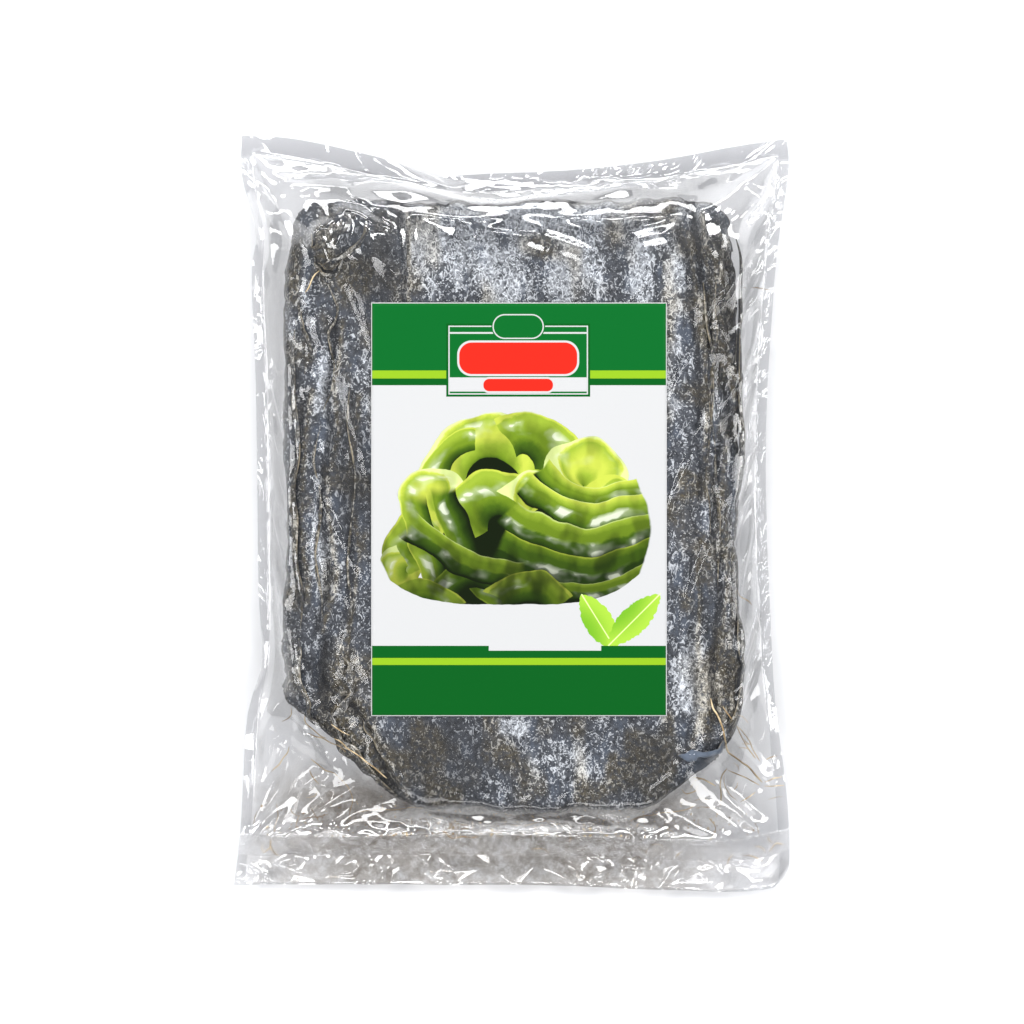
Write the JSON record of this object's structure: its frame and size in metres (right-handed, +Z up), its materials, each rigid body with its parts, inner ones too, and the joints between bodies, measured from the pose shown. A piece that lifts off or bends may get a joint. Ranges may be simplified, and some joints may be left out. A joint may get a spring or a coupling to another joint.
{
  "type": "clear bag of pressed dried kelp",
  "caption": "Sealed clear film bag round a pressed block of dried kelp, with a paper label on its front, lying on its back.",
  "frame": {"origin": "on the surface the bag lies on, under the middle of its bounding box", "axes": "+Z up out of the labelled front, +Y along the bag towards its top seal, +X across the bag to the right as the label is read"},
  "size_m": [0.282, 0.383, 0.0434],
  "materials": {
    "clear_film": "glossy clear plastic film with sharp creases",
    "label_paper": "coated paper printed in green, lime and white fields",
    "dried_kelp": "matt slate-black dried seaweed with a white salt bloom and brown ridges"
  },
  "bodies": {
    "root": {"bag": "clear_film", "label": "label_paper"}
  },
  "joints": []
}
